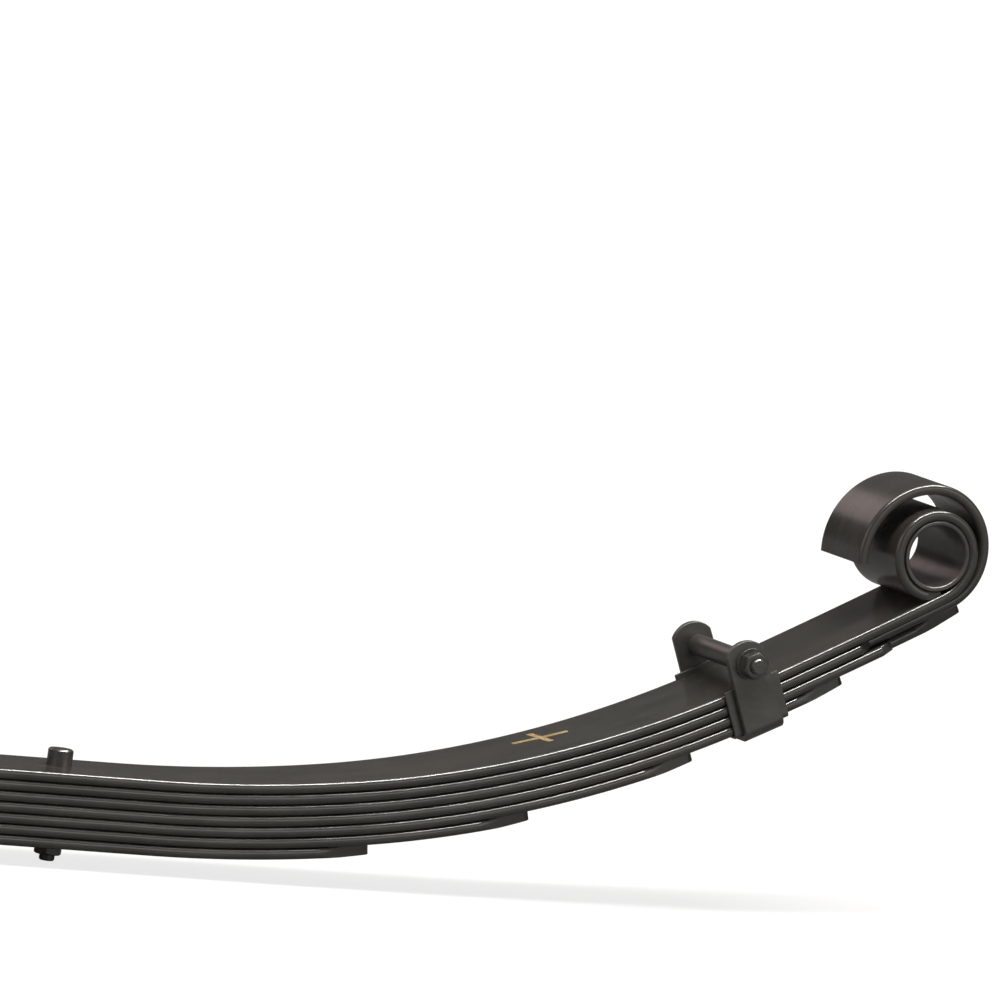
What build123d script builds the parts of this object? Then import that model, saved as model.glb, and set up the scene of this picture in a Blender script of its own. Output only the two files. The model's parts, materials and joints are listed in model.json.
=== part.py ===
from build123d import *
import os
from math import acos, cos, degrees, radians, sin

# Seven-leaf semi-elliptic spring: lined eyes, a wrapper leaf around each eye, and a bolted rebound
# clip on each half.
# X runs along the spring, Y across it and Z up. The origin is on the centre bolt's axis, at the top
# face of the main leaf. The spring is symmetric about the plane X = 0, so each piece is made on the
# +X side and mirrored.
# A "station" is a distance along the main leaf's top face, from the centre bolt outwards.
# A "depth" is a distance below that face, square to it.

# ---------------------------------------------------------------- leaves
leaf_width = 70.0
leaf_thickness = 7.0
leaf_gap = 0.1
edge_radius = 2.8
pitch = leaf_thickness + leaf_gap
leaf_count = 7

# side view of the main leaf's top face: a flat seat, then tangent arcs of (radius, length)
seat_half_length = 55.0
arch = ((1150.0, 145.0), (840.0, 290.0), (4900.0, 144.0))

# plain leaves: where each one ends
fourth_leaf_end = 547.0
fifth_leaf_end = 434.0
sixth_leaf_end = 318.5
seventh_leaf_end = 209.0
tip_length = 37.0
tip_half_width = 27.5
tip_corner_radius = 5.0

# the second and third leaves are narrower near the eye
narrow_width = 58.0
shoulder_length = 9.0
second_leaf_shoulder = 572.0
third_leaf_shoulder = 586.0
third_leaf_end = 643.0
third_tip_half_width = 20.0

# how far a cutting solid reaches past what it cuts
overcut = 2.0

# ---------------------------------------------------------------- eyes
eye_station = 634.0
eye_rise = 25.0
eye_radius = 23.0
eye_lead_radius = 30.0
eye_turn = 324.5
scarf_turn = 346.0
scarf_gap = 0.3
scarf_land = 1.0
# the leaf leads into the eye on a larger arc, which ends where the eye's own circle takes over
eye_lead_turn = degrees(acos((eye_lead_radius - eye_rise) / (eye_lead_radius - eye_radius)))
eye_start = eye_station - (eye_lead_radius - eye_radius) * sin(radians(eye_lead_turn))
eye_arcs = ((eye_lead_radius, eye_lead_turn), (eye_radius, eye_turn - eye_lead_turn))
# the wrapper opens away from the eye: centreline (radius, turn in degrees)
wrapper_arcs = ((38.5, 60.0), (40.0, 100.0), (48.0, 86.0))
bush_clearance = 0.05
bush_wall = 2.95
bush_chamfer = 0.8

# ---------------------------------------------------------------- centre bolt
centre_bolt_radius = 5.0
centre_hole_radius = 5.1
centre_head_radius = 8.25
centre_head_height = 11.0
centre_head_chamfer = 1.0
centre_bolt_tail = 4.0
centre_nut_across_flats = 17.0
centre_nut_height = 8.0
# shallow seats for the bolt's head and nut, so that both stay inside the outline of the flat round them
spot_face_depth = 0.1
head_spot_face_radius = 9.0
nut_spot_face_radius = 10.5

# ---------------------------------------------------------------- rebound clips
clip_station = 480.5
# how far the clip leans outwards for each millimetre of height
clip_lean = 0.04
clip_leaves = 4
fit_gap = 0.05
liner_side_gap = 0.3
liner_thickness = 1.6
liner_width = 40.0
liner_height = 2.5
liner_inner_bend = 1.4
strap_thickness = 4.0
strap_width = 28.5
# the rounded top of each arm, as (distance from the clip's station, height above the main leaf)
strap_inner_shoulder = (-11.5, 25.0)
strap_crown = (3.0, 31.0)
strap_outer_shoulder = (15.5, 22.0)
clip_bolt_radius = 5.0
clip_bolt_height = 15.2
clip_bolt_offset = 3.2
clip_hole_clearance = 0.25
clip_head_across_flats = 16.0
clip_head_height = 6.4
clip_nut_height = 8.0
clip_bolt_tail = 3.0
washer_radius = 10.5
washer_thickness = 2.0
spacer_radius = 7.0
spacer_side_gap = 0.1
rivet_radius = 4.0
rivet_head_radius = 7.5
rivet_head_height = 4.0
rivet_sink_radius = 6.5
rivet_sink_depth = 2.5
hex_bevel = 1.3
thread_chamfer = 0.8

os.makedirs("parts", exist_ok=True)

pack_depth = leaf_count * leaf_thickness + (leaf_count - 1) * leaf_gap
clipped_depth = clip_leaves * leaf_thickness + (clip_leaves - 1) * leaf_gap


def place(station, depth=0.0):
    """The plane on the spring at a station: x outwards along the leaf, y across, z off its top face."""
    x = min(station, seat_half_length)
    z = 0.0
    slope = 0.0
    left = max(station - seat_half_length, 0.0)
    for radius, length in arch:
        run = min(left, length)
        turned = slope + run / radius
        x += radius * (sin(turned) - sin(slope))
        z += radius * (cos(slope) - cos(turned))
        slope = turned
        left -= run
    x += left * cos(slope) + depth * sin(slope)
    z += left * sin(slope) - depth * cos(slope)
    return Plane(
        origin=(x, 0, z), x_dir=(cos(slope), 0, sin(slope)), z_dir=(-sin(slope), 0, cos(slope))
    )


def side_point(plane, out=0.0, up=0.0):
    """A point given in a station's plane, as (X, Z) for a sketch of the side view."""
    point = plane.from_local_coords((out, 0, up))
    return (point.X, point.Z)


def draw_face(depth, start, end):
    """Draw one face of a leaf, seen from the side, between two stations."""
    edges = []
    if start < seat_half_length:
        edges.append(Line((start, -depth), (seat_half_length, -depth)))
    begin = seat_half_length
    for radius, length in arch:
        run = min(end, begin + length) - max(start, begin)
        if run > 0:
            here = place(max(start, begin), depth)
            heading = (here.x_dir.X, here.x_dir.Z)
            turn = degrees(run / radius)
            edges.append(JernArc(side_point(here), heading, radius + depth, turn))
        begin += length
    if end > begin:
        edges.append(Line(side_point(place(begin, depth)), side_point(place(end, depth))))
    return edges


def draw_curl(start, arcs, offset):
    """Draw arcs of (radius, turn in degrees) on from an edge, each radius made larger by offset."""
    edge = start
    for radius, turn in arcs:
        edge = JernArc(edge @ 1, edge % 1, radius + offset, turn)
    return edge


def strip(number, start, end, width):
    """A length of the leaf with this number, between two stations, with its two edges rolled round."""
    top = (number - 1) * pitch
    with BuildPart() as length:
        with BuildSketch(Plane.XZ):
            with BuildLine():
                upper = draw_face(top, start, end)
                lower = draw_face(top + leaf_thickness, start, end)
                Line(upper[0] @ 0, lower[0] @ 0)
                Line(upper[-1] @ 1, lower[-1] @ 1)
            make_face()
        extrude(amount=width / 2, both=True)
        round_edges(length)
    return length.part


def round_edges(leaf):
    """Round the long edges of a leaf. The short edges across its ends stay square."""
    long_edges = [
        edge
        for side in leaf.faces().filter_by(Axis.Y)
        for edge in side.edges()
        if edge.length > 2 * leaf_thickness
    ]
    fillet(long_edges, radius=edge_radius)


def middle_depth(number):
    """How deep the middle of the leaf with this number lies."""
    return (number - 0.5) * pitch


def tip_waste(plane, length, wide, narrow, corner=0.0):
    """What is cut away where a leaf tapers from one half width to another, ending at the plane."""
    back = -length - overcut
    back_half_width = wide + overcut * (wide - narrow) / length
    outline = ((back, back_half_width), (0, narrow), (0, -narrow), (back, -back_half_width))
    with BuildPart() as waste:
        with BuildSketch(plane):
            with Locations(((overcut - length) / 2, 0)):
                Rectangle(length + overcut, leaf_width + overcut)
            with BuildLine():
                if corner:
                    sides = FilletPolyline(*outline, radius=corner)
                else:
                    sides = Polyline(*outline)
                Line(sides @ 1, sides @ 0)
            make_face(mode=Mode.SUBTRACT)
        extrude(amount=leaf_thickness, both=True)
    return waste.part


def half_leaf(number, end):
    """The +X half of a leaf that keeps its full width up to a tapered tip."""
    with BuildPart() as half:
        add(strip(number, 0, end, leaf_width))
        tip_plane = place(end, middle_depth(number))
        tip = tip_waste(tip_plane, tip_length, leaf_width / 2, tip_half_width, tip_corner_radius)
        add(tip, mode=Mode.SUBTRACT)
    return half.part


def shoulder_waste(number, station):
    """What is cut away where a leaf steps down to its narrow width."""
    plane = place(station, middle_depth(number))
    return tip_waste(plane, shoulder_length, leaf_width / 2, narrow_width / 2)


def whole_leaf(half):
    """Both halves of a leaf, with the hole for the centre bolt."""
    with BuildPart() as leaf:
        add(half)
        mirror(about=Plane.YZ)
        Hole(radius=centre_hole_radius)
    return leaf.part


def hexagon_prism(across_flats, height, bore_radius=0.0):
    """A nut or bolt head standing on the XY plane, bevelled round its outer corners."""
    corner_radius = across_flats / 2 / cos(radians(30))
    with BuildPart() as prism:
        with BuildSketch():
            RegularPolygon(across_flats / 2, 6, major_radius=False)
            if bore_radius:
                Circle(bore_radius, mode=Mode.SUBTRACT)
        extrude(amount=height)
        with BuildSketch(Plane.XZ):
            with BuildLine():
                Polyline(
                    (0, 0),
                    (corner_radius, 0),
                    (corner_radius, height - hex_bevel),
                    (across_flats / 2 - hex_bevel / 2, height),
                    (0, height),
                    close=True,
                )
            make_face()
        revolve(axis=Axis.Z, mode=Mode.INTERSECT)
    return prism.part


# ---------------------------------------------------------------- leaf 1, with an eye rolled at each end
eye_foot = place(eye_start)
eye_centre = eye_foot.from_local_coords((eye_station - eye_start, 0, eye_rise))
eye_side = Plane(eye_centre, x_dir=eye_foot.x_dir, z_dir=(0, -1, 0))


def eye_point(radius, turn):
    """A point in the eye's side view, after a turn from where the leaf runs into the eye."""
    return (radius * sin(radians(turn)), -radius * cos(radians(turn)))


with BuildPart() as main_half:
    with BuildSketch(Plane.XZ):
        with BuildLine():
            top_face = draw_face(0, 0, eye_start)
            bottom_face = draw_face(leaf_thickness, 0, eye_start)
            eye_inside = draw_curl(top_face[-1], eye_arcs, 0)
            eye_outside = draw_curl(bottom_face[-1], eye_arcs, leaf_thickness)
            Line(top_face[0] @ 0, bottom_face[0] @ 0)
            Line(eye_inside @ 1, eye_outside @ 1)
        make_face()
    extrude(amount=leaf_width / 2, both=True)
    round_edges(main_half)
    with BuildSketch(eye_side):
        with BuildLine():
            scarf_back = Polyline(
                eye_point(eye_radius, eye_turn),
                eye_point(eye_radius + leaf_thickness - scarf_land, eye_turn),
                (eye_point(eye_radius + leaf_thickness, eye_turn)[0], scarf_gap - eye_rise),
                (eye_point(eye_radius, scarf_turn)[0], scarf_gap - eye_rise),
                eye_point(eye_radius, scarf_turn),
            )
            RadiusArc(scarf_back @ 1, scarf_back @ 0, eye_radius)
        make_face()
    extrude(amount=leaf_width / 2 - scarf_land, both=True)

with BuildPart() as main_leaf:
    add(whole_leaf(main_half.part))
    with BuildSketch(Plane.XY.offset(-spot_face_depth)):
        Circle(head_spot_face_radius)
    extrude(amount=leaf_thickness, mode=Mode.SUBTRACT)
main_leaf.part.label = "main_leaf"
export_step(main_leaf.part, "parts/main_leaf.step")

# ---------------------------------------------------------------- leaf 2, wrapped round the eyes
with BuildPart() as wrapper_curl:
    with BuildSketch(Plane.XZ):
        with BuildLine():
            curl_top = draw_face(pitch, second_leaf_shoulder, eye_station)
            curl_bottom = draw_face(pitch + leaf_thickness, second_leaf_shoulder, eye_station)
            curl_inside = draw_curl(curl_top[-1], wrapper_arcs, -leaf_thickness / 2)
            curl_outside = draw_curl(curl_bottom[-1], wrapper_arcs, leaf_thickness / 2)
            Line(curl_top[0] @ 0, curl_bottom[0] @ 0)
            Line(curl_inside @ 1, curl_outside @ 1)
        make_face()
    extrude(amount=narrow_width / 2, both=True)
    round_edges(wrapper_curl)

with BuildPart() as wrapper_half:
    add(strip(2, 0, second_leaf_shoulder, leaf_width))
    add(shoulder_waste(2, second_leaf_shoulder), mode=Mode.SUBTRACT)
    add(wrapper_curl.part)

with BuildPart() as wrapper_leaf:
    add(whole_leaf(wrapper_half.part))
wrapper_leaf.part.label = "wrapper_leaf"
export_step(wrapper_leaf.part, "parts/wrapper_leaf.step")

# ---------------------------------------------------------------- leaf 3, narrow under the eyes
with BuildPart() as third_half:
    add(strip(3, 0, third_leaf_shoulder, leaf_width))
    add(shoulder_waste(3, third_leaf_shoulder), mode=Mode.SUBTRACT)
    add(strip(3, third_leaf_shoulder, third_leaf_end, narrow_width))
    third_tip = tip_waste(
        place(third_leaf_end, middle_depth(3)),
        tip_length,
        narrow_width / 2,
        third_tip_half_width,
        tip_corner_radius,
    )
    add(third_tip, mode=Mode.SUBTRACT)

with BuildPart() as third_leaf:
    add(whole_leaf(third_half.part))
third_leaf.part.label = "third_leaf"
export_step(third_leaf.part, "parts/third_leaf.step")

# ---------------------------------------------------------------- planes and rivet of the +X clip
clip_plane = place(clip_station)
clip_section = Plane(clip_plane.origin, x_dir=(0, 1, 0), z_dir=clip_plane.x_dir)
clip_side = Plane(clip_plane.origin, x_dir=clip_plane.x_dir, z_dir=(0, -1, 0))
liner_floor = clipped_depth + fit_gap
liner_inner_half = leaf_width / 2 + liner_side_gap
strap_floor = liner_floor + liner_thickness + fit_gap
strap_inner_half = liner_inner_half + liner_thickness + fit_gap
strap_outer_half = strap_inner_half + strap_thickness
strap_foot = strap_floor + strap_thickness
liner_lean = clip_lean * (strap_foot + liner_height)
rivet_top = leaf_thickness - clipped_depth - fit_gap


def rivet_solid(gap):
    """The clip's rivet, with its shank and countersunk end made larger by a gap for its hole."""
    # twice the gap at the wide end leaves at least the gap itself square to the cone
    cone_gap = 2 * gap
    top = rivet_top + cone_gap
    with BuildPart() as solid:
        with BuildSketch(clip_side):
            with BuildLine():
                TangentArc(
                    (0, -strap_foot - rivet_head_height),
                    (rivet_head_radius, -strap_foot),
                    tangent=(1, 0),
                )
                Polyline(
                    (rivet_head_radius, -strap_foot),
                    (rivet_radius + gap, -strap_foot),
                    (rivet_radius + gap, rivet_top - rivet_sink_depth),
                    (rivet_sink_radius + cone_gap, top),
                    (0, top),
                    (0, -strap_foot - rivet_head_height),
                )
            make_face()
        revolve(axis=Axis(clip_plane.origin, clip_plane.z_dir))
    return solid.part


# ---------------------------------------------------------------- leaves 4 to 7
with BuildPart() as riveted_half:
    add(half_leaf(4, fourth_leaf_end))
    add(rivet_solid(fit_gap), mode=Mode.SUBTRACT)

with BuildPart() as fourth_leaf:
    add(whole_leaf(riveted_half.part))
fourth_leaf.part.label = "fourth_leaf"
export_step(fourth_leaf.part, "parts/fourth_leaf.step")

with BuildPart() as fifth_leaf:
    add(whole_leaf(half_leaf(5, fifth_leaf_end)))
fifth_leaf.part.label = "fifth_leaf"
export_step(fifth_leaf.part, "parts/fifth_leaf.step")

with BuildPart() as sixth_leaf:
    add(whole_leaf(half_leaf(6, sixth_leaf_end)))
sixth_leaf.part.label = "sixth_leaf"
export_step(sixth_leaf.part, "parts/sixth_leaf.step")

nut_seat = Plane((0, 0, spot_face_depth - pack_depth), z_dir=(0, 0, -1))

with BuildPart() as seventh_leaf:
    add(whole_leaf(half_leaf(7, seventh_leaf_end)))
    with BuildSketch(nut_seat):
        Circle(nut_spot_face_radius)
    extrude(amount=leaf_thickness, mode=Mode.SUBTRACT)
seventh_leaf.part.label = "seventh_leaf"
export_step(seventh_leaf.part, "parts/seventh_leaf.step")

# ---------------------------------------------------------------- centre bolt and nut
with BuildPart() as centre_bolt:
    with BuildSketch(Plane.XY.offset(-spot_face_depth)):
        Circle(centre_head_radius)
    extrude(amount=centre_head_height + spot_face_depth)
    chamfer(centre_bolt.edges().group_by(Axis.Z)[-1], centre_head_chamfer)
    with BuildSketch():
        Circle(centre_bolt_radius)
    extrude(amount=-(pack_depth + centre_nut_height + centre_bolt_tail))
    chamfer(centre_bolt.edges().group_by(Axis.Z)[0], thread_chamfer)
centre_bolt.part.label = "centre_bolt"
export_step(centre_bolt.part, "parts/centre_bolt.step")

with BuildPart() as centre_nut:
    with Locations(nut_seat):
        add(
            hexagon_prism(
                centre_nut_across_flats, centre_nut_height, centre_bolt_radius + fit_gap
            )
        )
centre_nut.part.label = "centre_nut"
export_step(centre_nut.part, "parts/centre_nut.step")

# ---------------------------------------------------------------- eye bush
bush_outer_radius = eye_radius - bush_clearance
bush_bore_radius = bush_outer_radius - bush_wall

with BuildPart() as eye_bush:
    with BuildSketch(eye_side):
        Circle(bush_outer_radius)
        Circle(bush_bore_radius, mode=Mode.SUBTRACT)
    extrude(amount=leaf_width / 2, both=True)
    bore_rims = eye_bush.edges().filter_by(GeomType.CIRCLE).sort_by(SortBy.RADIUS)[:2]
    chamfer(bore_rims, bush_chamfer)

# ---------------------------------------------------------------- rebound clip, +X side
bolt_near_face = Plane(
    clip_plane.from_local_coords((clip_bolt_offset, -strap_outer_half, clip_bolt_height)),
    x_dir=clip_plane.x_dir,
    z_dir=(0, -1, 0),
)
bolt_far_face = Plane(
    clip_plane.from_local_coords((clip_bolt_offset, strap_outer_half, clip_bolt_height)),
    x_dir=clip_plane.x_dir,
    z_dir=(0, 1, 0),
)


def channel(inner_half, floor, thickness, inner_bend, height, width):
    """A U of strip steel round the leaves, open upwards, a little wider than it ends up."""
    outer_half = inner_half + thickness
    with BuildPart() as bent:
        with BuildSketch(clip_section):
            with BuildLine():
                inner = FilletPolyline(
                    (-inner_half, height),
                    (-inner_half, -floor),
                    (inner_half, -floor),
                    (inner_half, height),
                    radius=inner_bend,
                )
                outer = FilletPolyline(
                    (-outer_half, height),
                    (-outer_half, -floor - thickness),
                    (outer_half, -floor - thickness),
                    (outer_half, height),
                    radius=inner_bend + thickness,
                )
                Line(inner @ 0, outer @ 0)
                Line(inner @ 1, outer @ 1)
            make_face()
        extrude(amount=width / 2 + overcut, both=True)
    return bent.part


with BuildPart() as clip_liner:
    add(
        channel(
            liner_inner_half, liner_floor, liner_thickness, liner_inner_bend, liner_height, liner_width
        )
    )
    with BuildSketch(clip_side):
        Polygon(
            (-liner_width / 2, -strap_foot),
            (liner_width / 2, -strap_foot),
            (liner_width / 2 + liner_lean, liner_height),
            (-liner_width / 2 + liner_lean, liner_height),
            align=None,
        )
    extrude(amount=strap_outer_half, both=True, mode=Mode.INTERSECT)
    add(rivet_solid(fit_gap), mode=Mode.SUBTRACT)

strap_inner_bend = liner_inner_bend + liner_thickness + fit_gap

with BuildPart() as clip_strap:
    add(
        channel(
            strap_inner_half,
            strap_floor,
            strap_thickness,
            strap_inner_bend,
            strap_crown[1] + overcut,
            strap_width,
        )
    )
    with BuildSketch(clip_side):
        with BuildLine():
            arm = Polyline(
                strap_inner_shoulder,
                (-strap_width / 2, -strap_foot),
                (strap_width / 2, -strap_foot),
                strap_outer_shoulder,
            )
            ThreePointArc(strap_outer_shoulder, strap_crown, strap_inner_shoulder)
        make_face()
    extrude(amount=strap_outer_half, both=True, mode=Mode.INTERSECT)
    with BuildSketch(clip_side):
        with Locations((clip_bolt_offset, clip_bolt_height)):
            Circle(clip_bolt_radius + clip_hole_clearance)
    extrude(amount=strap_outer_half, both=True, mode=Mode.SUBTRACT)
    add(rivet_solid(fit_gap), mode=Mode.SUBTRACT)

with BuildPart() as clip_rivet:
    add(rivet_solid(0))

with BuildPart() as clip_bolt:
    with Locations(bolt_far_face):
        add(hexagon_prism(clip_head_across_flats, clip_head_height))
    with BuildSketch(bolt_far_face):
        Circle(clip_bolt_radius)
    extrude(
        amount=-(2 * strap_outer_half + washer_thickness + clip_nut_height + clip_bolt_tail)
    )
    chamfer(clip_bolt.edges().group_by(Axis.Y)[0], thread_chamfer)

with BuildPart() as clip_washer:
    with BuildSketch(bolt_near_face):
        Circle(washer_radius)
        Circle(clip_bolt_radius + clip_hole_clearance, mode=Mode.SUBTRACT)
    extrude(amount=washer_thickness)

with BuildPart() as clip_nut:
    with Locations(bolt_near_face.offset(washer_thickness)):
        add(hexagon_prism(clip_head_across_flats, clip_nut_height, clip_bolt_radius + fit_gap))

with BuildPart() as clip_spacer:
    with BuildSketch(clip_side):
        with Locations((clip_bolt_offset, clip_bolt_height)):
            Circle(spacer_radius)
            Circle(clip_bolt_radius + fit_gap, mode=Mode.SUBTRACT)
    extrude(amount=strap_inner_half - spacer_side_gap, both=True)

# ---------------------------------------------------------------- the pieces that each half has
for name, piece in (
    ("eye_bush", eye_bush),
    ("clip_liner", clip_liner),
    ("clip_strap", clip_strap),
    ("clip_rivet", clip_rivet),
    ("clip_bolt", clip_bolt),
    ("clip_washer", clip_washer),
    ("clip_nut", clip_nut),
    ("clip_spacer", clip_spacer),
):
    with BuildPart() as left:
        mirror(piece.part, about=Plane.YZ)
    piece.part.label = name + "_right"
    left.part.label = name + "_left"
    export_step(piece.part, "parts/" + piece.part.label + ".step")
    export_step(left.part, "parts/" + left.part.label + ".step")
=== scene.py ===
import bmesh
import bpy
import json
import math
import numpy as np
from mathutils import Matrix, Vector


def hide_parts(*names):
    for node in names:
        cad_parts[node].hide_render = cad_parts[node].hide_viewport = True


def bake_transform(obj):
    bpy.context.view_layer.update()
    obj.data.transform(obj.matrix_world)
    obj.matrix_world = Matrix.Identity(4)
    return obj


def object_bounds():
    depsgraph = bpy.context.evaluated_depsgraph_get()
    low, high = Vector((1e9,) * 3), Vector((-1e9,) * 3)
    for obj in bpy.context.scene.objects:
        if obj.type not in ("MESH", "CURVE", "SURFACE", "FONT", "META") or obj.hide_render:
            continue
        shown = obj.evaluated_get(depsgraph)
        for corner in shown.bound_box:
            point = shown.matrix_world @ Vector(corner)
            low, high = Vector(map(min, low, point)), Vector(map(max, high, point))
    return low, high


# Looks for the seven-leaf spring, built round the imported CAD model. Lengths are in metres and in the
# CAD's frame: X runs along the spring, Y across it and Z up. The origin is on the centre bolt's axis,
# at the top face of the main leaf.

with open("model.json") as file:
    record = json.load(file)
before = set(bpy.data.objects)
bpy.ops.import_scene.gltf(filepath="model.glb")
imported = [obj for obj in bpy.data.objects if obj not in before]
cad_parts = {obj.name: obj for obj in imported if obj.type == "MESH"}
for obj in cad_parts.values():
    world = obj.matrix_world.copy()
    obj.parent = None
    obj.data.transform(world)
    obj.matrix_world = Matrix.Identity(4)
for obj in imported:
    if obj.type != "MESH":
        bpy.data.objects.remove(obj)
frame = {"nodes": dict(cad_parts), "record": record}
cad_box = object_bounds()
nodes = frame["nodes"]

# ---------------------------------------------------------------- sizes of the leaves
# A station is a distance along the main leaf's top face, from the centre bolt outwards. A depth is a
# distance below that face, square to it.
LEAF_THICKNESS = 0.007
PITCH = 0.0071
LEAF_HALF_WIDTH = 0.035
NARROW_HALF_WIDTH = 0.029
EDGE_RADIUS = 0.0028

# side view of the main leaf's top face: a flat seat, then tangent arcs of (radius, length)
SEAT_HALF_LENGTH = 0.055
ARCH = ((1.150, 0.145), (0.840, 0.290), (4.900, 0.144))

# where the leaves step down to their narrow width, and where they end
SECOND_SHOULDER = 0.572
THIRD_SHOULDER = 0.586
SHOULDER_LENGTH = 0.009
THIRD_END = 0.643
FOURTH_END = 0.547
FIFTH_END = 0.434
SIXTH_END = 0.3185
SEVENTH_END = 0.209
TIP_LENGTH = 0.037
TIP_HALF_WIDTH = 0.0275
THIRD_TIP_HALF_WIDTH = 0.020
TIP_CORNER_RADIUS = 0.005

# the main leaf leads into its eye on a larger arc, and the eye's own circle takes over; turns in degrees
EYE_STATION = 0.634
EYE_RISE = 0.025
EYE_RADIUS = 0.023
EYE_LEAD_RADIUS = 0.030
EYE_LEAD_TURN = math.degrees(math.acos((EYE_LEAD_RADIUS - EYE_RISE) / (EYE_LEAD_RADIUS - EYE_RADIUS)))
EYE_LEAD_BACK = (EYE_LEAD_RADIUS - EYE_RADIUS) * math.sin(math.radians(EYE_LEAD_TURN))
EYE_START = EYE_STATION - EYE_LEAD_BACK
EYE_TURN = 324.5
# from there the leaf's end is cut away so that it lies just clear of the leaf's own top face
SCARF_TURN = 346.0
SCARF_GAP = 0.0003
SCARF_LAND = 0.001
MAIN_CURL = ((EYE_LEAD_RADIUS, EYE_LEAD_TURN), (EYE_RADIUS, SCARF_TURN - EYE_LEAD_TURN))

# the wrapper opens away from the eye: (radius at its middle, turn in degrees)
WRAPPER_MIDDLE_DEPTH = PITCH + LEAF_THICKNESS / 2
WRAPPER_ARCS = ((0.0385, 60.0), (0.040, 100.0), (0.048, 86.0))
WRAPPER_CURL = tuple((radius - WRAPPER_MIDDLE_DEPTH, turn) for radius, turn in WRAPPER_ARCS)

# fineness of the leaf meshes
STRIP_STEP = 0.008
CURL_STEP = math.radians(4.0)
EDGE_SEGMENTS = 8
CORNER_SEGMENTS = 8
SCARF_SEGMENTS = 7
SHARP_ANGLE = math.radians(12)
SAME_POINT = 1e-6
DEGENERATE_EDGE = 1e-7


# ---------------------------------------------------------------- side view of the leaves
class SideCurve:
    """A flat seat, then tangent arcs that all turn upwards, then a straight end."""

    def __init__(self, arcs):
        self.pieces = []
        station, x, z, slope = SEAT_HALF_LENGTH, SEAT_HALF_LENGTH, 0.0, 0.0
        for radius, length in arcs:
            self.pieces.append((station, length, x, z, slope, radius))
            turned = slope + length / radius
            x += radius * (math.sin(turned) - math.sin(slope))
            z += radius * (math.cos(slope) - math.cos(turned))
            station, slope = station + length, turned
        self.end = (station, x, z, slope)

    def point(self, station, depth):
        """Where a station and depth lie, as x and z."""
        if station <= SEAT_HALF_LENGTH:
            return station, -depth
        for start, length, x, z, slope, radius in self.pieces:
            if station <= start + length:
                turned = slope + (station - start) / radius
                centre_x = x - radius * math.sin(slope)
                centre_z = z + radius * math.cos(slope)
                reach = radius + depth
                return centre_x + reach * math.sin(turned), centre_z - reach * math.cos(turned)
        start, x, z, slope = self.end
        along = station - start
        return (
            x + along * math.cos(slope) + depth * math.sin(slope),
            z + along * math.sin(slope) - depth * math.cos(slope),
        )


def curl_arcs(curl):
    """Turns the (radius, turn) of a curl into the (radius, length) of its arcs."""
    return tuple((radius, radius * math.radians(turn)) for radius, turn in curl)


last_arc_radius, last_arc_length = ARCH[-1]
main_arcs = ARCH[:-1] + ((last_arc_radius, last_arc_length - EYE_LEAD_BACK),) + curl_arcs(MAIN_CURL)
wrapper_arcs = ARCH + curl_arcs(WRAPPER_CURL)


# ---------------------------------------------------------------- sections along the leaves
# A section is (station, half width, half width left after cutting, thickness left after cutting).
def spread(start, end, step):
    """Evenly spaced values from start to end, both included."""
    return list(np.linspace(start, end, max(2, math.ceil((end - start) / step) + 1)))


def full(start, end, half_width, step=STRIP_STEP):
    """Sections of a leaf at an even width, with nothing cut away."""
    return [(station, half_width, half_width, LEAF_THICKNESS) for station in spread(start, end, step)]


def shoulder(end):
    """The section that ends a straight step from the full width down to the narrow one."""
    return [(end, LEAF_HALF_WIDTH, NARROW_HALF_WIDTH, LEAF_THICKNESS)]


def tip(end, wide, narrow):
    """Sections of a tip, after its first: straight sides from wide to narrow, then a rounded corner."""
    start = end - TIP_LENGTH
    slope = (wide - narrow) / TIP_LENGTH
    corner_station = end - TIP_CORNER_RADIUS
    corner_y = narrow + TIP_CORNER_RADIUS * (slope - math.hypot(1.0, slope))
    corner = []
    for angle in np.linspace(math.atan(slope), math.pi / 2, CORNER_SEGMENTS + 1):
        station = corner_station + TIP_CORNER_RADIUS * math.sin(angle)
        corner.append((station, corner_y + TIP_CORNER_RADIUS * math.cos(angle)))
    side_end = corner[0][0]
    sides = [(station, wide - slope * (station - start)) for station in spread(start, side_end, STRIP_STEP)]
    return [(station, wide, cut, LEAF_THICKNESS) for station, cut in sides[1:-1] + corner]


def main_leaf_sections():
    """Along the leaf, round the eye, then the scarfed end that lies on the leaf again."""
    lead_end = EYE_START + EYE_LEAD_RADIUS * math.radians(EYE_LEAD_TURN)
    roll_end = lead_end + EYE_RADIUS * math.radians(EYE_TURN - EYE_LEAD_TURN)
    sections = full(0.0, EYE_START, LEAF_HALF_WIDTH)
    sections += full(EYE_START, lead_end, LEAF_HALF_WIDTH, EYE_LEAD_RADIUS * CURL_STEP)[1:]
    sections += full(lead_end, roll_end, LEAF_HALF_WIDTH, EYE_RADIUS * CURL_STEP)[1:]
    for turned in np.linspace(EYE_TURN, SCARF_TURN, SCARF_SEGMENTS + 1):
        station = lead_end + EYE_RADIUS * math.radians(turned - EYE_LEAD_TURN)
        reach = (EYE_RISE - SCARF_GAP) / math.cos(math.radians(turned)) - EYE_RADIUS
        left = min(LEAF_THICKNESS - SCARF_LAND, reach)
        sections.append((station, LEAF_HALF_WIDTH, LEAF_HALF_WIDTH - SCARF_LAND, left))
    return sections


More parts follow.
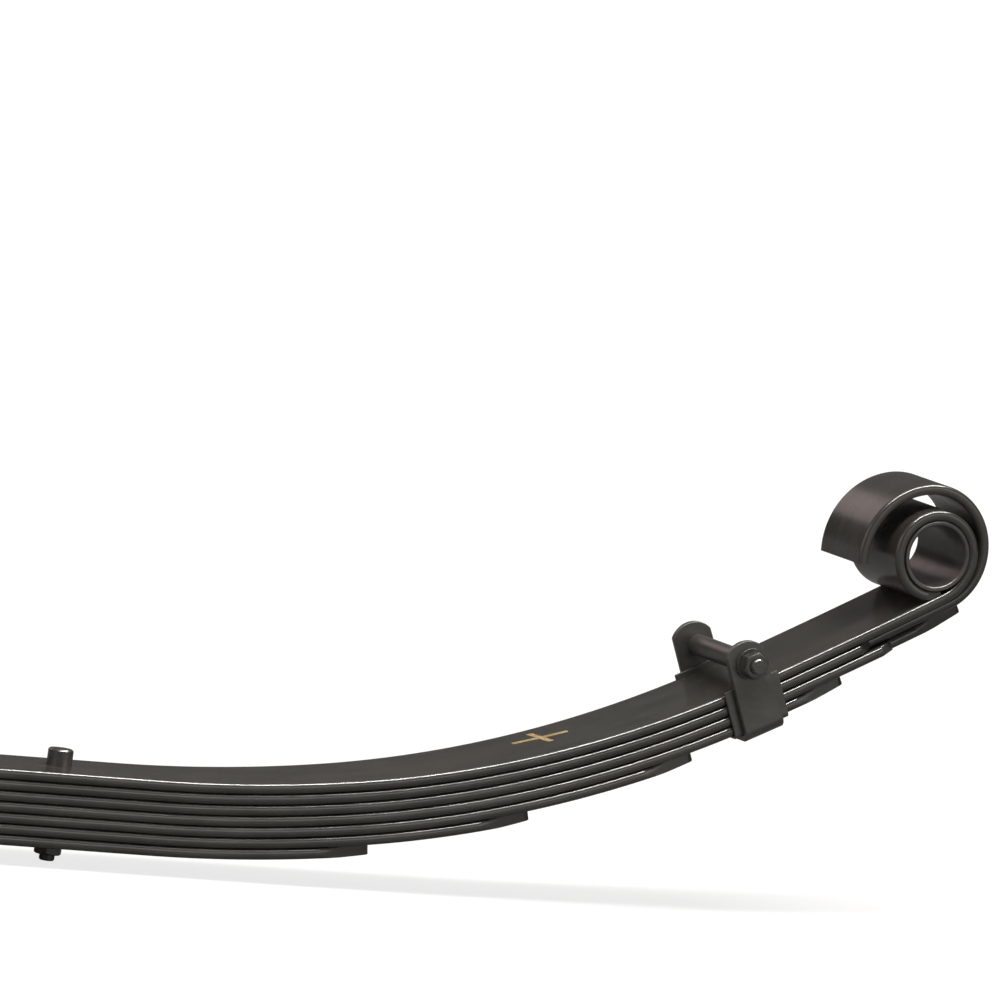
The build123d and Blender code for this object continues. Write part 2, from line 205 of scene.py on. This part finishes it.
def wrapper_leaf_sections():
    """Along the leaf, its step to the narrow width, then open round the eye."""
    sections = full(0.0, SECOND_SHOULDER - SHOULDER_LENGTH, LEAF_HALF_WIDTH) + shoulder(SECOND_SHOULDER)
    sections += full(SECOND_SHOULDER, EYE_STATION, NARROW_HALF_WIDTH)
    station = EYE_STATION
    for radius, length in curl_arcs(WRAPPER_CURL):
        sections += full(station, station + length, NARROW_HALF_WIDTH, radius * CURL_STEP)[1:]
        station += length
    return sections


def third_leaf_sections():
    """Along the leaf, its step to the narrow width, then its tip."""
    sections = full(0.0, THIRD_SHOULDER - SHOULDER_LENGTH, LEAF_HALF_WIDTH) + shoulder(THIRD_SHOULDER)
    sections += full(THIRD_SHOULDER, THIRD_END - TIP_LENGTH, NARROW_HALF_WIDTH)
    return sections + tip(THIRD_END, NARROW_HALF_WIDTH, THIRD_TIP_HALF_WIDTH)


def plain_leaf_sections(end):
    """Along a leaf at its full width, then its tip."""
    return full(0.0, end - TIP_LENGTH, LEAF_HALF_WIDTH) + tip(end, LEAF_HALF_WIDTH, TIP_HALF_WIDTH)


leaves = (
    ("main_leaf", main_arcs, main_leaf_sections()),
    ("wrapper_leaf", wrapper_arcs, wrapper_leaf_sections()),
    ("third_leaf", ARCH, third_leaf_sections()),
    ("fourth_leaf", ARCH, plain_leaf_sections(FOURTH_END)),
    ("fifth_leaf", ARCH, plain_leaf_sections(FIFTH_END)),
    ("sixth_leaf", ARCH, plain_leaf_sections(SIXTH_END)),
    ("seventh_leaf", ARCH, plain_leaf_sections(SEVENTH_END)),
)


# ---------------------------------------------------------------- leaf meshes
def section_points(half_width, cut, left):
    """The outline of a leaf cut across, as (y, depth below its top face), with rolled edges."""
    y = half_width - EDGE_RADIUS
    top, bottom = EDGE_RADIUS, LEAF_THICKNESS - EDGE_RADIUS
    corners = ((y, top, 0), (y, bottom, 90), (-y, bottom, 180), (-y, top, 270))
    points = []
    for centre_y, centre_depth, turned in corners:
        for angle in np.radians(np.linspace(turned, turned + 90, EDGE_SEGMENTS + 1)):
            across = centre_y + EDGE_RADIUS * math.sin(angle)
            down = centre_depth - EDGE_RADIUS * math.cos(angle)
            points.append((max(-cut, min(cut, across)), min(down, left)))
    return points


def unrolled_half(top, sections, side):
    """A closed mesh of half a leaf laid flat, skinned over its sections. Side is 1 for +X and -1 for -X."""
    bm = bmesh.new()
    rings = []
    for station, half_width, cut, left in sections:
        outline = section_points(half_width, cut, left)
        rings.append([bm.verts.new((side * station, y, -top - depth)) for y, depth in outline])
    for here, there in zip(rings, rings[1:]):
        for k in range(len(here)):
            bm.faces.new((here[k - 1], here[k], there[k], there[k - 1]))
    bm.faces.new(rings[0])
    bm.faces.new(reversed(rings[-1]))
    bmesh.ops.remove_doubles(bm, verts=bm.verts, dist=SAME_POINT)
    bmesh.ops.dissolve_degenerate(bm, edges=bm.edges, dist=DEGENERATE_EDGE)
    bmesh.ops.recalc_face_normals(bm, faces=bm.faces)
    return bm


def mark_sharp_edges(bm):
    """Mark the real corners of an unrolled leaf. Its rolled edges run smoothly into its faces."""
    bm.normal_update()
    for edge in bm.edges:
        edge.smooth = edge.calc_face_angle(0.0) < SHARP_ANGLE


def roll_up(bm, curve, side):
    """Bend an unrolled half along its side curve. Its flat coordinates are kept for the paint."""
    flat = bm.verts.layers.float_vector.new("flat_coords")
    for v in bm.verts:
        v[flat] = v.co
        x, z = curve.point(side * v.co.x, -v.co.z)
        v.co = (side * x, v.co.y, z)
    bmesh.ops.recalc_face_normals(bm, faces=bm.faces)


def weigh_normals(piece):
    """Let large faces set the shading next to small ones."""
    modifier = piece.modifiers.new("weighted_normals", "WEIGHTED_NORMAL")
    modifier.keep_sharp = True


def half_of_leaf(name, top, arcs, sections, side):
    """One half of a leaf whose top face lies at a depth."""
    end_name = "right" if side > 0 else "left"
    curve = SideCurve(arcs)
    bm = unrolled_half(top, sections, side)
    mark_sharp_edges(bm)
    roll_up(bm, curve, side)
    mesh = bpy.data.meshes.new(f"{name}_{end_name}_half")
    bm.to_mesh(mesh)
    bm.free()
    mesh.shade_smooth()
    piece = bpy.data.objects.new(f"{name}_{end_name}_half", mesh)
    bpy.context.scene.collection.objects.link(piece)
    weigh_normals(piece)
    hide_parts(name)
    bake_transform(piece)
    return piece


halves = []
for number, (name, arcs, sections) in enumerate(leaves):
    for side in (1, -1):
        halves.append(half_of_leaf(name, number * PITCH, arcs, sections, side))

# ---------------------------------------------------------------- small pieces: softened edges
# how wide the edges are rounded, by the start of the node's name
SOFT_EDGES = {
    "centre_bolt": 0.0003,
    "centre_nut": 0.0003,
    "eye_bush": 0.0004,
    "clip_strap": 0.0007,
    "clip_liner": 0.0003,
    "clip_bolt": 0.0003,
    "clip_nut": 0.0002,
    "clip_washer": 0.0003,
    "clip_spacer": 0.0003,
    "clip_rivet": 0.0003,
}
SOFT_SEGMENTS = 3
SOFT_ANGLE = math.radians(32)


def soften(node, width):
    """Join a CAD node's faces at their edges, then round off its corners."""
    weld = node.modifiers.new("weld", "WELD")
    weld.merge_threshold = SAME_POINT
    bevel = node.modifiers.new("soft_edges", "BEVEL")
    bevel.width = width
    bevel.segments = SOFT_SEGMENTS
    bevel.limit_method = "ANGLE"
    bevel.angle_limit = SOFT_ANGLE
    bevel.use_clamp_overlap = True
    weigh_normals(node)


for name, node in nodes.items():
    for start, width in SOFT_EDGES.items():
        if name.startswith(start):
            soften(node, width)


# ---------------------------------------------------------------- materials, built node by node
def set_input(tree, socket, value):
    """Link a socket to another, or set it to a number, a vector or a colour."""
    if isinstance(value, bpy.types.NodeSocket):
        tree.links.new(value, socket)
    elif socket.type == "RGBA":
        socket.default_value = (*value, 1.0)
    else:
        socket.default_value = value


def mix_colours(tree, factor, a, b):
    """A colour between a and b."""
    mix = tree.nodes.new("ShaderNodeMix")
    mix.data_type = "RGBA"
    factor_index, a_index, b_index, result_index = 0, 6, 7, 2
    for index, value in ((factor_index, factor), (a_index, a), (b_index, b)):
        set_input(tree, mix.inputs[index], value)
    return mix.outputs[result_index]


def seen_or_unseen(tree, seen, unseen):
    """One colour for what the camera sees, and another for what light and reflections see."""
    path = tree.nodes.new("ShaderNodeLightPath")
    return mix_colours(tree, path.outputs["Is Camera Ray"], unseen, seen)


class Shader:
    """A procedural material."""

    def __init__(self, name):
        self.material = bpy.data.materials.new(name)
        self.material.use_nodes = True
        self.tree = self.material.node_tree
        self.surface = self.tree.nodes["Principled BSDF"]

    def node(self, kind, settings, inputs):
        """A node with its settings, and its inputs by name or by number."""
        made = self.tree.nodes.new(kind)
        for key, value in settings.items():
            setattr(made, key, value)
        for key, value in inputs.items():
            set_input(self.tree, made.inputs[key], value)
        return made

    def coords(self, attribute):
        """Metres along the unrolled leaf, or in the piece's own frame where no attribute is named."""
        if attribute:
            return self.node("ShaderNodeAttribute", {"attribute_name": attribute}, {}).outputs["Vector"]
        return self.node("ShaderNodeTexCoord", {}, {}).outputs["Object"]

    def stretch(self, coords, scale):
        """The same coordinates at another scale along each axis."""
        return self.node("ShaderNodeMapping", {}, {"Vector": coords, "Scale": scale}).outputs["Vector"]

    def noise(self, coords, scale, detail=3.0, rough=0.55):
        """A cloudy pattern from 0 to 1, with its scale per metre."""
        inputs = {"Vector": coords, "Scale": scale, "Detail": detail, "Roughness": rough}
        return self.node("ShaderNodeTexNoise", {}, inputs).outputs["Fac"]

    def ramp(self, value, low, high, to_low=0.0, to_high=1.0):
        """A smooth step of a value from one level to another."""
        inputs = {"Value": value, "From Min": low, "From Max": high, "To Min": to_low, "To Max": to_high}
        return self.node("ShaderNodeMapRange", {"interpolation_type": "SMOOTHSTEP"}, inputs).outputs["Result"]

    def math(self, operation, a, b):
        return self.node("ShaderNodeMath", {"operation": operation}, {0: a, 1: b}).outputs["Value"]

    def mix(self, factor, a, b):
        return mix_colours(self.tree, factor, a, b)

    def bump(self, height, strength, distance):
        """A surface normal that follows a height pattern."""
        inputs = {"Height": height, "Strength": strength, "Distance": distance}
        return self.node("ShaderNodeBump", {}, inputs).outputs["Normal"]

    def bump_over(self, normal, height, strength, distance):
        """Another height pattern on top of a surface normal."""
        inputs = {"Height": height, "Strength": strength, "Distance": distance, "Normal": normal}
        return self.node("ShaderNodeBump", {}, inputs).outputs["Normal"]

    def finish(self, colour, roughness, normal):
        self.tree.links.new(colour, self.surface.inputs["Base Color"])
        self.tree.links.new(roughness, self.surface.inputs["Roughness"])
        self.tree.links.new(normal, self.surface.inputs["Normal"])
        return self.material


# ---------------------------------------------------------------- the yellow cross on the main leaf
# its two brush strokes: centre and size along and across the unrolled leaf, and slant in degrees
STROKES = (
    ((0.3472, 0.0072), (0.0386, 0.0046), -5.5),
    ((0.3476, 0.0075), (0.0303, 0.0042), -87.0),
)
STROKE_RAGGEDNESS = 0.0012
STROKE_FADE_START, STROKE_FADE_END = 0.0002, 0.0009
YELLOW_DARK, YELLOW_LIGHT = (0.40, 0.25, 0.10), (0.55, 0.42, 0.22)


def stroke_mask(shader, coords, centre, size, slant):
    """Where one ragged brush stroke lies, from 0 to 1."""
    moved = shader.node("ShaderNodeVectorMath", {"operation": "SUBTRACT"}, {0: coords, 1: (*centre, 0.0)})
    rotation = {"Vector": moved.outputs["Vector"], "Angle": math.radians(-slant)}
    turned = shader.node("ShaderNodeVectorRotate", {"rotation_type": "Z_AXIS"}, rotation)
    axes = shader.node("ShaderNodeSeparateXYZ", {}, {"Vector": turned.outputs["Vector"]})
    ragged = shader.math("MULTIPLY", shader.noise(coords, 900.0, 2.0), STROKE_RAGGEDNESS)
    masks = []
    for axis, length in (("X", size[0]), ("Y", size[1])):
        reach = shader.math("ADD", shader.math("ABSOLUTE", axes.outputs[axis], 0.0), ragged)
        masks.append(shader.ramp(reach, length / 2 + STROKE_FADE_END, length / 2 + STROKE_FADE_START))
    return shader.math("MULTIPLY", *masks)


def cross_mask(shader, coords):
    """Where the worn cross lies: on the leaf's top face only."""
    height = shader.node("ShaderNodeSeparateXYZ", {}, {"Vector": coords}).outputs["Z"]
    strokes = [stroke_mask(shader, coords, *stroke) for stroke in STROKES]
    on_top = shader.ramp(height, -0.002, -0.001)
    mask = shader.math("MULTIPLY", shader.math("MAXIMUM", *strokes), on_top)
    worn = shader.ramp(shader.noise(coords, 420.0, 4.0, 0.65), 0.30, 0.50, 0.45, 1.0)
    return shader.math("MULTIPLY", mask, worn)


# ---------------------------------------------------------------- charcoal paint
# the paint's patterns run out along the leaf
DRAWN_OUT = (0.25, 1.0, 1.0)
DUST = (0.16, 0.15, 0.14)
WARMTH = (1.22, 1.0, 0.98)


def paint_colour(shader, coords, drawn_out, speck, dark, light):
    """Mottled from dark to light, with warmer patches and specks of dust."""
    mottle = shader.ramp(shader.noise(drawn_out, 60.0, 4.0, 0.6), 0.35, 0.68)
    colour = shader.mix(mottle, dark, light)
    warm_patches = shader.ramp(shader.noise(drawn_out, 23.0), 0.45, 0.70, 0.0, 0.6)
    colour = shader.mix(warm_patches, colour, tuple(level * warmth for level, warmth in zip(light, WARMTH)))
    return shader.mix(shader.ramp(speck, 0.70, 0.78, 0.0, 0.5), colour, DUST)


def paint_roughness(shader, drawn_out, speck, roughness):
    """A little duller and glossier from place to place, about the given roughness."""
    patches = shader.math("MULTIPLY", shader.noise(drawn_out, 35.0), 0.14)
    specks = shader.math("MULTIPLY", speck, 0.10)
    mean_of_both = 0.12
    return shader.math("ADD", shader.math("ADD", patches, specks), roughness - mean_of_both)


def paint_normal(shader, coords, drawn_out):
    """Fine shot-peened pits on long shallow ripples."""
    pits = shader.bump(shader.noise(coords, 750.0, 2.0, 0.5), 0.3, 0.00006)
    return shader.bump_over(pits, shader.noise(drawn_out, 240.0, 2.0), 0.25, 0.00025)


def spring_paint(name, attribute, dark, light, roughness, marked=False):
    """Charcoal paint over shot-peened steel. A marked one carries the yellow cross."""
    shader = Shader(name)
    coords = shader.coords(attribute)
    drawn_out = shader.stretch(coords, DRAWN_OUT)
    speck = shader.noise(coords, 1400.0, 1.0)
    colour = paint_colour(shader, coords, drawn_out, speck, dark, light)
    normal = paint_normal(shader, coords, drawn_out)
    if marked:
        mask = cross_mask(shader, coords)
        streaks = shader.ramp(shader.noise(coords, 260.0), 0.40, 0.62)
        colour = shader.mix(mask, colour, shader.mix(streaks, YELLOW_DARK, YELLOW_LIGHT))
        normal = shader.bump_over(normal, mask, 0.6, 0.0001)
    return shader.finish(colour, paint_roughness(shader, drawn_out, speck, roughness), normal)


LEAF_FINISH = ((0.031, 0.0305, 0.0265), (0.047, 0.046, 0.0405), 0.22)
leaf_paint = spring_paint("leaf_paint", "flat_coords", *LEAF_FINISH)
marked_paint = spring_paint("leaf_paint_marked", "flat_coords", *LEAF_FINISH, marked=True)
for piece in halves:
    piece.data.materials.append(marked_paint if piece.name == "main_leaf_right_half" else leaf_paint)

node_paints = {
    "leaf_paint": leaf_paint,
    "clip_paint": spring_paint("clip_paint", "", (0.042, 0.041, 0.036), (0.060, 0.059, 0.052), 0.34),
    "bolt_paint": spring_paint("bolt_paint", "", (0.036, 0.036, 0.032), (0.056, 0.054, 0.048), 0.28),
    "bush_steel": spring_paint("bush_steel", "", (0.036, 0.034, 0.031), (0.058, 0.052, 0.047), 0.33),
}
node_slots = {part["node"]: part["material_slot"] for part in frame["record"]["subparts"]}
for name, node in nodes.items():
    node.data.materials.clear()
    node.data.materials.append(node_paints[node_slots[name]])

# ---------------------------------------------------------------- pale floor
# The floor glows evenly for the camera, and stays dim for light and reflections, so that the dark
# steel isn't lit from below.
FLOOR_HALF = 150.0
FLOOR_DROP = 0.001
FLOOR_GLOW = (0.79, 0.79, 0.79)
NO_GLOW = (0.0, 0.0, 0.0)
PAPER_DARK, PAPER_LIGHT = (0.150, 0.150, 0.150), (0.165, 0.165, 0.165)
PAPER_UNSEEN = (0.16, 0.16, 0.155)


def floor_paper():
    """Plain white paper with a fine grain."""
    shader = Shader("floor_white")
    grain = shader.noise(shader.coords(""), 300.0, 2.0)
    paper = shader.mix(grain, PAPER_DARK, PAPER_LIGHT)
    glow = seen_or_unseen(shader.tree, FLOOR_GLOW, NO_GLOW)
    shader.tree.links.new(glow, shader.surface.inputs["Emission Color"])
    shader.surface.inputs["Emission Strength"].default_value = 1.0
    colour = seen_or_unseen(shader.tree, paper, PAPER_UNSEEN)
    return shader.finish(colour, shader.ramp(grain, 0.0, 1.0, 0.85, 0.95), shader.bump(grain, 0.1, 0.0002))


floor_z = cad_box[0].z - FLOOR_DROP
floor_corners = [(x * FLOOR_HALF, y * FLOOR_HALF, floor_z) for x, y in ((-1, -1), (1, -1), (1, 1), (-1, 1))]
floor_mesh = bpy.data.meshes.new("floor")
floor_mesh.from_pydata(floor_corners, [], [(0, 1, 2, 3)])
floor_mesh.materials.append(floor_paper())
floor = bpy.data.objects.new("floor", floor_mesh)
bpy.context.scene.collection.objects.link(floor)

# ---------------------------------------------------------------- camera
AIM = Vector((0.28802, 0.0, 0.19315))
DISTANCE = 18.830
AZIMUTH, ELEVATION, ROLL = math.radians(-26.895), math.radians(6.2645), math.radians(7.7226)
SENSOR_WIDTH = 36.0
LENS_PER_SENSOR_WIDTH = 29.253


def direction(azimuth, elevation):
    """The unit vector towards an azimuth, where 0 is in front (-Y) and a quarter turn is +X."""
    level = math.cos(elevation)
    return Vector((math.sin(azimuth) * level, -math.cos(azimuth) * level, math.sin(elevation)))


to_camera = direction(AZIMUTH, ELEVATION)
level_right = Vector((0, 0, 1)).cross(to_camera).normalized()
level_up = to_camera.cross(level_right)
camera_right = level_right * math.cos(ROLL) + level_up * math.sin(ROLL)
camera_up = level_up * math.cos(ROLL) - level_right * math.sin(ROLL)
camera_turn = Matrix((camera_right, camera_up, to_camera)).transposed()

camera_data = bpy.data.cameras.new("camera")
camera_data.sensor_width = SENSOR_WIDTH
camera_data.lens = SENSOR_WIDTH * LENS_PER_SENSOR_WIDTH
camera_data.clip_start = 1.0
camera_data.clip_end = 400.0
camera = bpy.data.objects.new("camera", camera_data)
camera.matrix_world = Matrix.Translation(AIM + to_camera * DISTANCE) @ camera_turn.to_4x4()
bpy.context.scene.collection.objects.link(camera)
bpy.context.scene.camera = camera
bpy.context.scene.view_settings.view_transform = "Standard"

# ---------------------------------------------------------------- lights
# each light: name, azimuth and elevation in degrees, strength, spread in degrees, colour
SOFT_LIGHTS = (
    ("front", 26, 2, 1.0, 42, (0.99, 1.0, 0.93)),
    ("left_fill", -80, 12, 0.75, 50, (1.0, 0.92, 0.89)),
    ("back_left", 200, 30, 0.24, 28, (1.0, 0.80, 0.78)),
    ("back", 184, 12, 0.05, 80, (1.0, 0.98, 0.94)),
)
# A row of overhead lights draws the bright line along each leaf's upper rolled edge. Each one is
# mirrored to the camera where the leaf has one of these slopes, in degrees.
LINE_SLOPES = (-3, 4, 11, 18, 25, 32, 39)
LINE_LIGHT = (0.50, 8, (1.0, 0.975, 0.95))
GLINT_LIGHT = (1.1, 6, (1.0, 0.985, 0.96))


def sun(name, azimuth, elevation, strength, spread, colour):
    """A soft distant light."""
    lamp = bpy.data.lights.new(name, "SUN")
    lamp.energy = strength
    lamp.angle = math.radians(spread)
    lamp.color = colour
    holder = bpy.data.objects.new(name, lamp)
    towards = direction(math.radians(azimuth), math.radians(elevation))
    holder.rotation_euler = towards.to_track_quat("Z", "Y").to_euler()
    bpy.context.scene.collection.objects.link(holder)
    return holder


for slope in LINE_SLOPES:
    tilt = math.radians(slope)
    edge_normal = Vector((-math.sin(tilt), -1.0, math.cos(tilt))).normalized()
    mirrored = 2 * edge_normal.dot(to_camera) * edge_normal - to_camera
    azimuth = math.degrees(math.atan2(mirrored.x, -mirrored.y))
    elevation = math.degrees(math.asin(mirrored.z))
    sun(f"overhead_{slope}", azimuth, elevation, *LINE_LIGHT)
    glint = sun(f"glint_{slope}", azimuth, elevation, *GLINT_LIGHT)
    glint.visible_diffuse = False
for light in SOFT_LIGHTS:
    sun(*light)

# ---------------------------------------------------------------- the light from all round
BACKDROP = (0.965, 0.965, 0.965)
# (height of the direction, brightness): at and below the horizon, then up to straight overhead
SKY = ((0.0, 0.05), (0.25, 0.07), (0.5, 0.10), (0.75, 0.25), (1.0, 0.55))


def sky_colour(level, brightness):
    """The sky is a little warm, and warmer higher up."""
    return (brightness, brightness * (0.985 - 0.03 * level), brightness * (0.95 - 0.03 * level), 1.0)


world = bpy.data.worlds.new("studio")
bpy.context.scene.world = world
world.use_nodes = True
sky_tree = world.node_tree
coordinates = sky_tree.nodes.new("ShaderNodeTexCoord")
height = sky_tree.nodes.new("ShaderNodeSeparateXYZ")
sky_ramp = sky_tree.nodes.new("ShaderNodeValToRGB")
sky_tree.links.new(coordinates.outputs["Generated"], height.inputs["Vector"])
sky_tree.links.new(height.outputs["Z"], sky_ramp.inputs["Fac"])
stops = sky_ramp.color_ramp.elements
while len(stops) < len(SKY):
    stops.new(0.5)
for stop, (level, brightness) in zip(stops, SKY):
    stop.position = level
for stop, (level, brightness) in zip(stops, SKY):
    stop.color = sky_colour(level, brightness)
background = sky_tree.nodes["Background"]
background.inputs["Strength"].default_value = 1.0
sky_light = seen_or_unseen(sky_tree, BACKDROP, sky_ramp.outputs["Color"])
sky_tree.links.new(sky_light, background.inputs["Color"])
